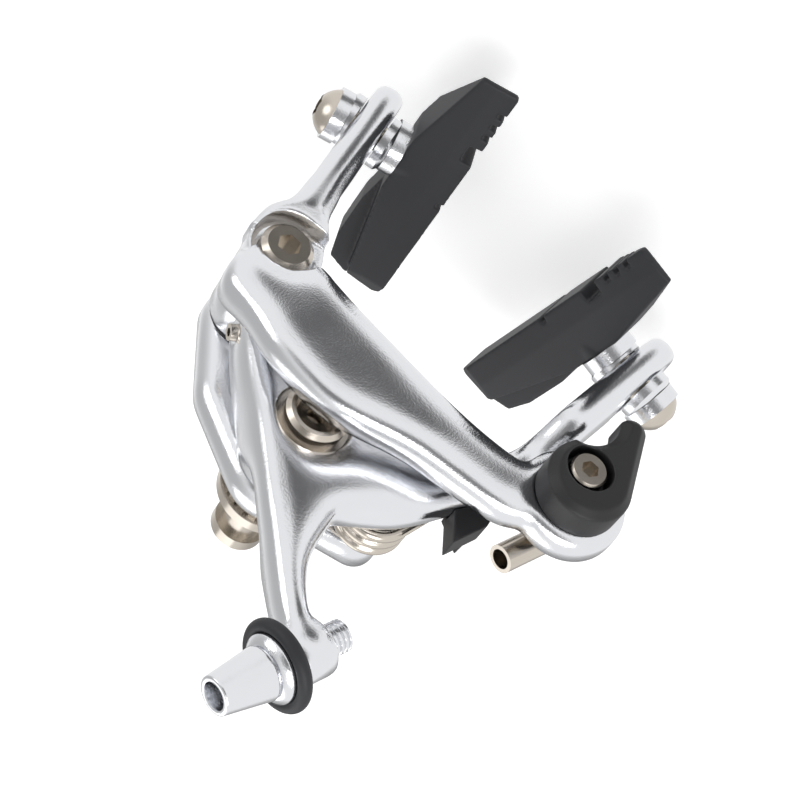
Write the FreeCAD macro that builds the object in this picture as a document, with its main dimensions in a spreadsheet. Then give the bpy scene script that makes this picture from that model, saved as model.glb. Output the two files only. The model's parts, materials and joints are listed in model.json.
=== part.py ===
import FreeCAD, Part
import math
import os

import Sketcher
from FreeCAD import Placement, Rotation, Vector

# Dual-pivot caliper brake, millimetres.
# +Z is up, -Y is the front, the origin is on the mounting bolt's axis at the mounting face.

document = FreeCAD.newDocument("caliper_brake")
sheet = document.addObject("Spreadsheet::Sheet", "dims")

DIMENSIONS = {
    # fits
    "running_fit": 0.06,
    "side_play": 0.06,
    # mounting stack, from the mounting face forward
    "bolt_radius": 3.0,
    "bolt_tail": 11.0,
    "bolt_bore": 1.8,
    "crown_washer_thick": 2.2,
    "crown_washer_radius": 8.6,
    "tooth_washer_thick": 1.2,
    "tooth_washer_radius": 7.2,
    "bracket_thick": 7.6,
    "slip_washer_thick": 0.6,
    "slip_washer_radius": 7.4,
    "hub_length": 14.0,
    "hub_radius": 9.4,
    "nut_washer_radius": 6.9,
    "nut_thick": 3.6,
    "nut_radius": 6.0,
    "nut_dish_radius": 4.4,
    "nut_dish_depth": 1.6,
    "sleeve_gap": 3.2,
    "sleeve_radius": 4.0,
    "sleeve_length": 7.0,
    "sleeve_flange_radius": 5.2,
    "sleeve_flange_thick": 3.6,
    "sleeve_key": 5.0,
    "sleeve_key_depth": 2.4,
    # side pivot
    "pivot_x": 25.0,
    "pivot_drop": 18.2,
    "pivot_hub_radius": 7.2,
    "pivot_shank_radius": 3.5,
    "pivot_head_radius": 5.0,
    "pivot_head_thick": 3.2,
    "pivot_key": 4.0,
    "bush_wall": 1.0,
    "eye_radius": 6.6,
    "elbow_step": 1.9,
    "eye_depth": 4.6,
    "eye_point_reach": 10.5,
    "bracket_edge": 9.2,
    "bracket_round": 2.4,
    "bracket_step": 0.8,
    "bracket_bulge": 2.4,
    "bracket_bulge_radius": 9.2,
    "coil_seat_radius": 4.5,
    "eye_point_radius": 0.8,
    "elbow_swell": 5.4,
    # anchor arm beam
    "beam_gap": 1.0,
    "beam_thick": 7.4,
    "beam_shoulder_top": 1.4,
    "beam_crest_top": 3.0,
    "beam_crest_bottom": 17.8,
    "beam_waist_top": 3.4,
    "beam_waist_bottom": 17.0,
    "beam_neck_top": 6.6,
    "beam_neck_bottom": 20.4,
    "beam_edge_round": 1.2,
    "beam_belly_round": 4.6,
    # lower arms and shoes
    "leg_thick": 6.4,
    "leg_depth": 13.4,
    "leg_round": 2.6,
    "leg_setback": 2.7,
    "shoe_drop": 56.0,
    "anchor_leg_x": 33.6,
    "anchor_leg_lean": 11.5,
    "adjuster_leg_x": 34.2,
    "adjuster_leg_lean": 4.0,
    "slot_width": 7.8,
    "slot_travel": 8.0,
    # quick release and cable anchor
    "anchor_x": 42.5,
    "anchor_drop": 19.2,
    "anchor_boss_radius": 10.2,
    "boss_step": 0.7,
    "anchor_eccentric_x": 1.4,
    "anchor_eccentric_drop": 1.1,
    "lever_radius": 8.1,
    "lever_thick": 7.2,
    "lever_hub_radius": 5.6,
    "lever_reach": 17.4,
    "lever_tip_radius": 2.6,
    "lever_scoop_radius": 6.4,
    "lever_bevel": 1.5,
    "lever_pocket_radius": 4.5,
    "lever_pocket_depth": 4.6,
    "anchor_bolt_radius": 2.0,
    "anchor_head_radius": 3.5,
    "anchor_head_thick": 4.0,
    "anchor_key": 3.0,
    "clamp_plate_thick": 1.6,
    "clamp_plate_radius": 5.8,
    "clamp_nut_thick": 6.6,
    "clamp_nut_radius": 3.8,
    "guide_radius": 2.7,
    "guide_bore": 1.9,
    "guide_length": 10.0,
    "guide_rise": 1.87,
    "guide_offset": 2.56,
    # adjuster arm
    "spine_offset": 10.8,
    "spine_proud": 2.9,
    "finger_reach": 23.5,
    "finger_root": 2.0,
    "finger_tip_width": 5.6,
    "finger_proud": 0.9,
    "finger_rise": 4.3,
    "finger_clearance": 0.9,
    "spine_angle": 43.4,
    "lug_station": 20.0,
    "lug_radius": 2.6,
    "nut_pocket_room": 1.2,
    "neck_width": 6.8,
    "web_proud": 2.5,
    "web_rise": 8.9,
    # barrel adjuster
    "cable_setback": 1.7,
    "barrel_x": 27.7,
    "barrel_rise": 35.7,
    "barrel_lean": 16.0,
    "boss_radius": 5.4,
    "boss_length": 8.2,
    "boss_tail": 5.0,
    "stem_radius": 3.0,
    "stem_tail": 4.4,
    "cable_hole": 1.0,
    "knob_collar_radius": 6.4,
    "knob_collar_thick": 0.5,
    "knob_flange_radius": 6.4,
    "knob_flange_thick": 2.2,
    "knob_groove_radius": 5.9,
    "knob_cone_base": 5.0,
    "knob_cone_tip": 3.6,
    "knob_cone_length": 10.2,
    "housing_bore": 2.55,
    "housing_depth": 7.0,
    "ring_radius": 1.3,
    # centring screw
    "screw_radius": 1.6,
    "screw_length": 9.0,
    "screw_key": 1.5,
    # return spring
    "coil_x": 18.6,
    "coil_drop": 2.0,
    "coil_radius": 5.7,
    "wire_radius": 1.1,
    "coil_turns": 2.0,
    "coil_pitch": 2.35,
    "coil_post_radius": 3.2,
    "coil_sleeve_wall": 1.1,
    "bend_swell": 1.04,
    "leg_overrun": 2.4,
    "peg_radius": 2.0,
    "peg_x": 14.0,
    "peg_drop": 18.8,
    "peg_rear": 11.4,
    # nylon spring block
    "block_length": 10.0,
    "block_heel": 2.1,
    "block_toe": 5.7,
    "block_crown": 7.8,
    "block_setback": 2.2,
    "block_depth": 5.4,
    "block_stand": 5.7,
    "block_x": 28.6,
    "block_drop": 11.0,
    "block_heading": 60.0,
    "block_lip": 1.2,
    "block_lip_thick": 5.0,
    # brake shoes
    "shoe_bolt_radius": 2.6,
    "shoe_head_radius": 4.7,
    "shoe_head_rise": 3.2,
    "shoe_key": 4.0,
    "shoe_washer_radius": 5.3,
    "ball_radius": 7.2,
    "ball_washer_bore": 4.3,
    "washer_flat": 7.6,
    "insert_radius": 3.4,
    "insert_flange_radius": 4.0,
    "insert_flange_thick": 1.0,
    "insert_length": 6.0,
    "pad_length": 59.0,
    "pad_front_share": 0.455,
    "pad_nose": 2.4,
    "pad_height": 10.5,
    "pad_thick": 11.8,
    "pad_end_thick": 7.7,
    "pad_crest": 4.7,
    "pad_slope": 7.0,
    "pad_inner_slope": 4.0,
    "pad_hump": 13.0,
    "pad_boss_wall": 0.8,
    "pad_undercut": 15.0,
    "pad_lip": 1.4,
    "groove_depth": 2.6,
    "groove_first": 5.0,
    "groove_pitch": 2.9,
    "groove_slit": 1.2,
    "groove_slot_at": 14.6,
    "groove_slot": 4.0,
    "groove_rear_at": 30.0,
    "wing_reach": 1.2,
    "wing_height": 6.0,
    "anchor_shoe_pitch": 10.0,
    "anchor_shoe_roll": 22.0,
    "anchor_shoe_toe": 1.5,
    "adjuster_shoe_pitch": 3.4,
    "adjuster_shoe_roll": 1.0,
    "adjuster_shoe_toe": 12.0,
}
for row, (alias, number) in enumerate(DIMENSIONS.items(), start=1):
    sheet.set(f"A{row}", alias)
    sheet.set(f"B{row}", str(number))
    sheet.setAlias(f"B{row}", alias)
document.recompute()


class Size:
    """A length or angle that carries both its value and its formula in the sheet."""

    def __init__(self, text, value):
        self.text = text
        self.value = value

    def joined(self, sign, other, value):
        other_text = other.text if isinstance(other, Size) else repr(float(other))
        return Size(f"({self.text} {sign} {other_text})", value)

    def __add__(self, other):
        return self.joined("+", other, self.value + number_of(other))

    def __sub__(self, other):
        return self.joined("-", other, self.value - number_of(other))

    def __mul__(self, other):
        return self.joined("*", other, self.value * number_of(other))

    def __truediv__(self, other):
        return self.joined("/", other, self.value / number_of(other))


def number_of(size):
    return size.value if isinstance(size, Size) else float(size)


class Sizes:
    """Gives every cell of the sheet as an attribute."""

    def __getattr__(self, alias):
        return Size(f"dims.{alias}", float(sheet.get(alias)))


d = Sizes()


def n(alias):
    return float(sheet.get(alias))


ALONG_Y = Rotation(Vector(1, 0, 0), -90)
TOWARDS_FRONT = Rotation(Vector(1, 0, 0), 90)
ALONG_X = Rotation(Vector(0, 1, 0), 90)


def origin_plane(body, role):
    return next(item for item in body.Origin.OriginFeatures if item.Role == role)


def outline_sketch(body, name, role, corners):
    """Closed straight outline on an origin plane, each corner held by two sheet formulas."""
    sketch = body.newObject("Sketcher::SketchObject", name)
    sketch.AttachmentSupport = [(origin_plane(body, role), "")]
    sketch.MapMode = "FlatFace"
    points = [Vector(number_of(u), number_of(v), 0) for u, v in corners]
    count = len(points)
    for index in range(count):
        sketch.addGeometry(Part.LineSegment(points[index], points[(index + 1) % count]), False)
    for index in range(count):
        sketch.addConstraint(Sketcher.Constraint("Coincident", index, 2, (index + 1) % count, 1))
    for index, corner in enumerate(corners):
        for kind, axis, size in (("DistanceX", -2, corner[0]), ("DistanceY", -1, corner[1])):
            if number_of(size) == 0:
                sketch.addConstraint(Sketcher.Constraint("PointOnObject", index, 1, axis))
                continue
            held = sketch.addConstraint(
                Sketcher.Constraint(kind, -1, 1, index, 1, number_of(size))
            )
            if isinstance(size, Size):
                sketch.setExpression(f"Constraints[{held}]", size.text)
    return sketch


def turned(name, profile):
    """Body of revolution about its own Z axis from (radius, height) corners."""
    body = document.addObject("PartDesign::Body", name)
    sketch = outline_sketch(body, name + "_profile", "XZ_Plane", profile)
    spin = body.newObject("PartDesign::Revolution", name + "_turned")
    spin.Profile = sketch
    spin.ReferenceAxis = (sketch, ["V_Axis"])
    spin.Angle = 360
    return body


def ring(name, inner, outer, height):
    return turned(name, [(inner, 0), (outer, 0), (outer, height), (inner, height)])


def prism(name, across_flats, height):
    tool = document.addObject("Part::Prism", name)
    tool.Polygon = 6
    tool.setExpression("Circumradius", (across_flats / math.cos(math.pi / 6) / 2).text)
    tool.setExpression("Height", height.text)
    return tool


def cut(name, base, tool):
    made = document.addObject("Part::Cut", name)
    made.Base = base
    made.Tool = tool
    return made


pieces = {}


def keep(node, item, placement=None):
    item.Label = node
    if placement is not None:
        item.Placement = placement
    pieces[node] = item
    return item


def free_form(node, shape):
    """Forged or moulded form set from its own solid."""
    item = document.addObject("Part::Feature", node)
    item.Shape = shape
    return keep(node, item)


def cylinder(radius, length, base, axis):
    return Part.makeCylinder(radius, length, Vector(*base), Vector(*axis))


def section(origin, across, along, low, high, near, far, rounds):
    """Rounded four-sided wire; rounds run from (low, near) anticlockwise."""
    corners = [(low, near), (high, near), (high, far), (low, far)]
    signs = [(1, 1), (-1, 1), (-1, -1), (1, -1)]

    def place(u, v):
        return origin + across * u + along * v

    edges = []
    starts = []
    ends = []
    for (u, v), (su, sv), radius in zip(corners, signs, rounds):
        bend = radius * (1 - math.sqrt(0.5))
        first = place(u, v + sv * radius) if su == sv else place(u + su * radius, v)
        last = place(u + su * radius, v) if su == sv else place(u, v + sv * radius)
        starts.append(first)
        ends.append(last)
        edges.append(Part.Arc(first, place(u + su * bend, v + sv * bend), last).toShape())
    wire = []
    for index in range(4):
        wire.append(edges[index])
        following = (index + 1) % 4
        wire.append(Part.LineSegment(ends[index], starts[following]).toShape())
    return Part.Wire(wire)


def loft(wires):
    return Part.makeLoft(wires, True, False)


# Stations of the mounting stack along Y, forward is negative
bracket_rear = n("crown_washer_thick") + n("tooth_washer_thick")
bracket_front = bracket_rear + n("bracket_thick")
hub_rear = bracket_front + n("slip_washer_thick") + n("side_play")
hub_front = hub_rear + n("hub_length")
nut_rear = hub_front + n("side_play") + n("slip_washer_thick")
nut_front = nut_rear + n("nut_thick")
beam_rear = nut_front + n("beam_gap")
beam_front = beam_rear + n("beam_thick")
elbow_front = beam_front - n("elbow_step")
leg_front = beam_front - n("leg_setback")
leg_rear = leg_front - n("leg_depth")
spine_front = hub_front + n("spine_proud")
finger_front = hub_front + n("finger_proud")
finger_rear = hub_rear + n("finger_rise")
web_front = hub_front + n("web_proud")
web_rear = hub_rear + n("web_rise")
cable_plane = hub_front - n("cable_setback")
PIVOT = Vector(n("pivot_x"), 0, -n("pivot_drop"))
ANCHOR = Vector(-n("anchor_x"), 0, -n("anchor_drop"))
UP = Vector(0, 0, 1)
REAR = Vector(0, 1, 0)
RIGHT = Vector(1, 0, 0)


def stacked(y, x=0.0, z=0.0):
    """Placement of a turned piece whose own axis points to the front from y."""
    return Placement(Vector(x, -y, z), TOWARDS_FRONT)


# Washers, bolt and nuts of the mounting stack
shank_hole = d.bolt_radius + d.running_fit
keep("crown_washer", ring("crown", shank_hole, d.crown_washer_radius, d.crown_washer_thick), stacked(0))


def toothed_washer():
    """Lock washer with radial teeth round its rim."""
    tooth_count = 18
    tooth_depth = 0.9
    disc = Part.makeCylinder(n("tooth_washer_radius"), n("tooth_washer_thick"))
    notch = Part.makeBox(tooth_depth * 2, tooth_depth, n("tooth_washer_thick"))
    notch.translate(Vector(n("tooth_washer_radius") - tooth_depth, -tooth_depth / 2, 0))
    notches = []
    for index in range(tooth_count):
        turned_notch = notch.copy()
        turned_notch.rotate(Vector(), UP, 360 / tooth_count * index)
        notches.append(turned_notch)
    hole = Part.makeCylinder(n("bolt_radius") + n("running_fit"), n("tooth_washer_thick"))
    return disc.cut(notches + [hole])


lock = document.addObject("Part::Feature", "toothed_washer")
lock.Shape = toothed_washer()
keep("toothed_washer", lock, stacked(n("crown_washer_thick")))
keep("rear_slip_washer", ring("rear_slip", shank_hole, d.slip_washer_radius, d.slip_washer_thick),
     stacked(bracket_front))
keep("front_slip_washer", ring("front_slip", shank_hole, d.nut_washer_radius, d.slip_washer_thick),
     stacked(hub_front + n("side_play")))
keep("pivot_nut", turned("pivot_nut_body", [
    (shank_hole, 0),
    (d.nut_radius, 0),
    (d.nut_radius, d.nut_thick - d.nut_dish_depth / 2),
    (d.nut_radius - d.nut_dish_depth / 2, d.nut_thick),
    (d.nut_dish_radius, d.nut_thick),
    (d.nut_dish_radius - d.nut_dish_depth / 2, d.nut_thick - d.nut_dish_depth),
    (shank_hole, d.nut_thick - d.nut_dish_depth),
]), stacked(nut_rear))

stack_length = (d.crown_washer_thick + d.tooth_washer_thick + d.bracket_thick + d.slip_washer_thick * 2
                + d.side_play * 2 + d.hub_length + d.nut_thick)
bolt_length = d.bolt_tail + stack_length - d.nut_dish_depth
keep("mounting_bolt", turned("mounting_bolt_body", [
    (0, 0),
    (d.bolt_radius - d.bolt_bore / 4, 0),
    (d.bolt_radius, d.bolt_bore / 4),
    (d.bolt_radius, bolt_length),
    (d.bolt_bore, bolt_length),
    (d.bolt_bore, bolt_length - d.nut_thick),
    (0, bolt_length - d.nut_thick - d.bolt_bore / 2),
]), stacked(-n("bolt_tail")))

sleeve_full = d.sleeve_length + d.sleeve_flange_thick
sleeve_bore = d.bolt_tail - d.sleeve_gap + d.side_play
sleeve = turned("recessed_nut_body", [
    (shank_hole, 0),
    (d.sleeve_radius, 0),
    (d.sleeve_radius, d.sleeve_length),
    (d.sleeve_flange_radius, d.sleeve_length),
    (d.sleeve_flange_radius, sleeve_full - d.sleeve_flange_thick / 4),
    (d.sleeve_flange_radius - d.sleeve_flange_thick / 4, sleeve_full),
    (0, sleeve_full),
    (0, sleeve_bore),
    (shank_hole, sleeve_bore),
])
sleeve_socket = prism("recessed_nut_socket", d.sleeve_key, d.sleeve_key_depth)
sleeve_socket.setExpression("Placement.Base.z", (sleeve_full - d.sleeve_key_depth).text)
keep("recessed_nut", cut("recessed_nut_cut", sleeve, sleeve_socket),
     Placement(Vector(0, n("sleeve_gap"), 0), ALONG_Y))


def capsule(first, first_radius, second, second_radius, rear, front):
    """Tapered link between two round ends, upright in the front view, from rear to front."""
    start = Vector(first.x, -rear, first.z)
    end = Vector(second.x, -rear, second.z)
    run = end - start
    run_length = run.Length
    forward = run * (1 / run_length)
    side = Vector(-forward.z, 0, forward.x)
    lean = (first_radius - second_radius) / run_length
    square = math.sqrt(1 - lean * lean)
    upper = forward * lean + side * square
    lower = forward * lean - side * square
    wire = Part.Wire([
        Part.LineSegment(start + upper * first_radius, end + upper * second_radius).toShape(),
        Part.Arc(end + upper * second_radius, end + forward * second_radius,
                 end + lower * second_radius).toShape(),
        Part.LineSegment(end + lower * second_radius, start + lower * first_radius).toShape(),
        Part.Arc(start + lower * first_radius, start - forward * first_radius,
                 start + upper * first_radius).toShape(),
    ])
    return Part.Face(wire).extrude(Vector(0, rear - front, 0))


def softened(solid, radius):
    """Rounds the edges that lie in the front and rear faces of a prism along Y."""
    box = solid.BoundBox
    rims = [edge for edge in solid.Edges
            if edge.BoundBox.YLength < 1e-6
            and min(abs(edge.BoundBox.YMin - box.YMin), abs(edge.BoundBox.YMin - box.YMax)) < 1e-6]
    return solid.makeFillet(radius, rims)


def bevelled(solid, size):
    """Bevels the round rims of a cylinder."""
    rims = [edge for edge in solid.Edges if edge.Curve.TypeId == "Part::GeomCircle"]
    return solid.makeChamfer(size, rims)


def eased(stations, steps):
    """Adds stations between the given ones along a curve that never overshoots them."""
    last = len(stations) - 1
    slopes = []
    for index, row in enumerate(stations):
        slope = []
        for column, value in enumerate(row):
            before = value - stations[max(index - 1, 0)][column]
            after = stations[min(index + 1, last)][column] - value
            slope.append(2 * before * after / (before + after) if before * after > 0 else 0)
        slopes.append(slope)
    rows = []
    for index in range(last):
        for step in range(steps):
            t = step / steps
            rows.append([
                start * (2 * t + 1) * (1 - t) ** 2 + leaving * t * (1 - t) ** 2
                + finish * (3 - 2 * t) * t ** 2 - arriving * (1 - t) * t ** 2
                for start, finish, leaving, arriving
                in zip(stations[index], stations[index + 1], slopes[index], slopes[index + 1])
            ])
    rows.append(list(stations[last]))
    return rows


def bore(centre, radius, rear, front):
    return cylinder(radius, front - rear, (centre.x, -rear, centre.z), (0, -1, 0))


# Bracket that carries both pivots and the spring post
COIL = Vector(-n("coil_x"), 0, -n("coil_drop"))
CENTRE = Vector()
post_front = bracket_front + n("coil_pitch") * (n("coil_turns") + 0.6) + n("wire_radius")
pivot_shank_hole = n("pivot_shank_radius") + n("running_fit")


def bracket():
    above = Vector(-PIVOT.z, 0, PIVOT.x) * (n("bracket_bulge") / PIVOT.Length)
    bulge = PIVOT * 0.5 + above
    inner = softened(capsule(CENTRE, n("bracket_edge"), bulge, n("bracket_bulge_radius"),
                             bracket_rear, bracket_front), n("bracket_round"))
    outer = softened(capsule(bulge, n("bracket_bulge_radius"), PIVOT, n("pivot_hub_radius"),
                             bracket_rear, bracket_front), n("bracket_round"))
    left = softened(capsule(CENTRE, n("bracket_edge") - n("bracket_round") / 2,
                            COIL, n("coil_seat_radius"),
                            bracket_rear, bracket_front - n("bracket_step")), n("bracket_round") / 2)
    post = bore(COIL, n("coil_post_radius"), bracket_rear + n("bracket_step"), post_front)
    body = inner.fuse([outer, left, post])
    return body.cut([
        bore(CENTRE, n("bolt_radius") + n("running_fit"), bracket_rear, bracket_front),
        bore(PIVOT, pivot_shank_hole, bracket_rear, bracket_front),
    ]).removeSplitter()


free_form("bracket", bracket())

# Side pivot bolt and washer
eye_floor = elbow_front - n("eye_depth")
hub_stack = d.bracket_thick + d.slip_washer_thick + d.side_play
front_stack = (d.hub_length + d.side_play + d.slip_washer_thick + d.nut_thick + d.beam_gap + d.beam_thick
               - d.elbow_step - d.eye_depth)
grip = hub_stack + front_stack + d.side_play
pivot_bolt = turned("side_pivot_bolt_body", [
    (0, 0),
    (d.pivot_shank_radius, 0),
    (d.pivot_shank_radius, grip),
    (d.pivot_head_radius, grip),
    (d.pivot_head_radius, grip + d.pivot_head_thick * 0.7),
    (d.pivot_head_radius - d.pivot_head_thick * 0.3, grip + d.pivot_head_thick),
    (0, grip + d.pivot_head_thick),
])
pivot_socket = prism("side_pivot_socket", d.pivot_key, d.pivot_head_thick * 0.7)
pivot_socket.setExpression("Placement.Base.z", (grip + d.pivot_head_thick * 0.3).text)
keep("side_pivot_bolt", cut("side_pivot_bolt_cut", pivot_bolt, pivot_socket),
     stacked(bracket_rear, PIVOT.x, PIVOT.z))
keep("side_slip_washer", ring("side_slip", d.pivot_shank_radius + d.running_fit,
                              d.pivot_hub_radius - d.slip_washer_thick, d.slip_washer_thick),
     stacked(bracket_front, PIVOT.x, PIVOT.z))

# Bushes pressed into the two arms
pivot_bush_outer = n("pivot_shank_radius") + n("running_fit") + n("bush_wall")
hub_bush_outer = n("bolt_radius") + n("running_fit") + n("bush_wall")
keep("side_pivot_bush", ring("side_bush", d.pivot_shank_radius + d.running_fit,
                             d.pivot_shank_radius + d.running_fit + d.bush_wall, front_stack),
     stacked(hub_rear, PIVOT.x, PIVOT.z))
keep("centre_pivot_bush", ring("centre_bush", shank_hole, shank_hole + d.bush_wall, d.hub_length),
     stacked(hub_rear))


class Leg:
    """Lower arm: a flat bar that leans outward and ends in a slotted round tip."""

    def __init__(self, x, lean):
        angle = math.radians(lean)
        self.up = Vector(-math.sin(angle), 0, math.cos(angle))
        self.across = Vector(math.cos(angle), 0, math.sin(angle))
        self.centre = Vector(x, -leg_front + n("leg_depth") / 2, -n("shoe_drop"))

    def wire(self, rise, low, high, front, rear, rounds):
        origin = self.centre + self.up * rise
        origin.y = 0
        return section(origin, self.across, REAR, low, high, -front, -rear, rounds)

    def bar(self, rise):
        half = n("leg_thick") / 2
        low = -n("slot_travel") / 2
        wire = self.wire(low, -half, half, leg_front, leg_rear, [n("leg_round")] * 4)
        straight = Part.Face(wire).extrude(self.up * (rise - low))
        base = self.centre + self.up * low - self.across * half
        disc = Part.makeCylinder(n("leg_depth") / 2, n("leg_thick"), base, self.across)
        rims = [edge for edge in disc.Edges if edge.Curve.TypeId == "Part::GeomCircle"]
        return straight.fuse(disc.makeFillet(n("leg_round"), rims)).removeSplitter()

    def slot(self):
        radius = n("slot_width") / 2
        reach = n("leg_thick") * 2
        cutters = []
        for end in (-1, 1):
            base = self.centre + self.up * (end * n("slot_travel") / 2) - self.across * (reach / 2)
            cutters.append(Part.makeCylinder(radius, reach, base, self.across))
        corner = self.centre - self.up * (n("slot_travel") / 2) - self.across * (reach / 2) - REAR * radius
        side = REAR * (radius * 2)
        top = self.up * n("slot_travel")
        face = Part.Face(Part.makePolygon([corner, corner + side, corner + side + top, corner + top, corner]))
        cutters.append(face.extrude(self.across * reach))
        return cutters


anchor_leg = Leg(n("anchor_leg_x"), n("anchor_leg_lean"))
adjuster_leg = Leg(-n("adjuster_leg_x"), -n("adjuster_leg_lean"))
finger_clear = finger_front + n("finger_clearance")


def beam_wire(x, bottom, top, front, rear):
    edge = n("beam_edge_round")
    belly = min(n("beam_belly_round"), front - rear - edge * 1.2)
    return section(Vector(x, 0, 0), UP, REAR, bottom, top, -front, -rear, [belly, edge, edge, edge])


# Cable-anchor arm: leg, elbow round the side pivot, beam across the front, anchor boss
SPINE = Vector(math.cos(math.radians(n("spine_angle"))), 0, -math.sin(math.radians(n("spine_angle"))))
SPINE_OUT = Vector(-SPINE.z, 0, SPINE.x)
lug_centre = SPINE * n("lug_station")
PEG = Vector(n("peg_x"), 0, -n("peg_drop"))
boss_front = beam_front - n("boss_step")


def anchor_arm():
    half = n("leg_thick") / 2
    elbow = elbow_front
    swell = n("elbow_swell")
    rise = n("shoe_drop") - n("pivot_drop")
    soft = [n("leg_round")] * 4
    bar_end = rise * 0.5
    leg = loft([anchor_leg.wire(*row, soft) for row in eased([
        (bar_end, -half, half, leg_front, leg_rear),
        (rise * 0.74, -half - swell * 0.2, half + swell * 0.1, elbow, leg_rear - 0.6),
        (rise * 0.9, -half - swell * 0.75, half + swell * 0.6, elbow, finger_clear),
        (rise * 1.04, -half - swell, half + swell * 0.7, elbow, finger_clear),
    ], 3)])
    hub = bore(PIVOT, n("pivot_hub_radius"), hub_rear, elbow - n("leg_round"))
    hub = bevelled(hub, n("beam_edge_round") / 2)
    shoulder = -n("beam_shoulder_top")
    boss_radius = n("anchor_boss_radius")
    beam = loft([beam_wire(*row) for row in eased([
        (PIVOT.x + swell * 0.9, PIVOT.z + swell, shoulder - swell, elbow - 1, finger_clear + 1),
        (PIVOT.x + swell * 0.35, PIVOT.z - swell * 0.3, shoulder - swell * 0.3, elbow, finger_clear),
        (PIVOT.x - swell, PIVOT.z - swell * 0.35, shoulder + 0.4, elbow + 0.8, beam_rear - 1.5),
        (PIVOT.x * 0.45, -n("beam_crest_bottom") - 0.8, n("beam_crest_top") - 0.8, beam_front, beam_rear),
        (0, -n("beam_crest_bottom"), n("beam_crest_top"), beam_front, beam_rear),
        (ANCHOR.x * 0.4, -n("beam_waist_bottom"), -n("beam_waist_top") + 0.8, beam_front, beam_rear),
        (ANCHOR.x * 0.62, -n("beam_waist_bottom") - 0.8, -n("beam_waist_top") - 1.0,
         beam_front - 0.3, beam_rear),
        (ANCHOR.x * 0.84, -n("beam_neck_bottom"), -n("beam_neck_top"), boss_front, beam_rear),
        (ANCHOR.x * 0.96, ANCHOR.z - boss_radius * 0.5, ANCHOR.z + boss_radius * 0.8,
         boss_front - 0.4, beam_rear),
    ], 2)])
    boss = bevelled(bore(ANCHOR, boss_radius, beam_rear, boss_front), n("beam_edge_round") / 2)
    lug = bevelled(bore(lug_centre, n("lug_radius"), finger_rear, beam_rear + 1), n("lug_radius") / 5)
    peg = bevelled(bore(PEG, n("peg_radius"), n("peg_rear"), beam_rear + 1), n("peg_radius") / 5)
    arm = leg.fuse([anchor_leg.bar(bar_end), hub, beam, boss, lug, peg])
    point = PIVOT + Vector(-0.75, 0, -0.66) * n("eye_point_reach")
    eye_front = beam_front + n("eye_depth")
    eye = bore(PIVOT, n("eye_radius"), eye_floor, eye_front)
    eye_tail = capsule(PIVOT, n("eye_radius"), point, n("eye_point_radius"), eye_floor, eye_front)
    bush = bore(PIVOT, pivot_bush_outer + n("running_fit") / 3, hub_rear, eye_floor)
    release = bore(ANCHOR, n("lever_hub_radius") + n("running_fit"), beam_rear, boss_front)
    return arm.cut([eye, eye_tail, bush, release] + anchor_leg.slot())


free_form("anchor_arm", anchor_arm())

# Adjuster arm: spine from the barrel boss to the finger, web and leg, hub on the mounting bolt
barrel_angle = math.radians(n("barrel_lean"))
BARREL_AXIS = Vector(math.sin(barrel_angle), 0, math.cos(barrel_angle))
BARREL = Vector(-n("barrel_x"), -cable_plane, n("barrel_rise"))
screw_base = SPINE * n("lug_station") + SPINE_OUT * (n("lug_radius") + n("side_play"))
screw_base.y = -(finger_front + finger_rear) / 2


def spine_wire(station, inner, outer, front, rear):
    soft = n("beam_edge_round")
    belly = min(soft * 2, (outer - inner) * 0.4)
    return section(SPINE * station, SPINE_OUT, REAR, inner, outer, -front, -rear, [belly, soft, soft, soft])


def web_wire(x, z, heading, half, front, rear):
    angle = math.radians(heading)
    across = Vector(math.sin(angle), 0, -math.cos(angle))
    return section(Vector(x, 0, z), across, REAR, -half, half, -front, -rear, [n("leg_round")] * 4)


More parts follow.
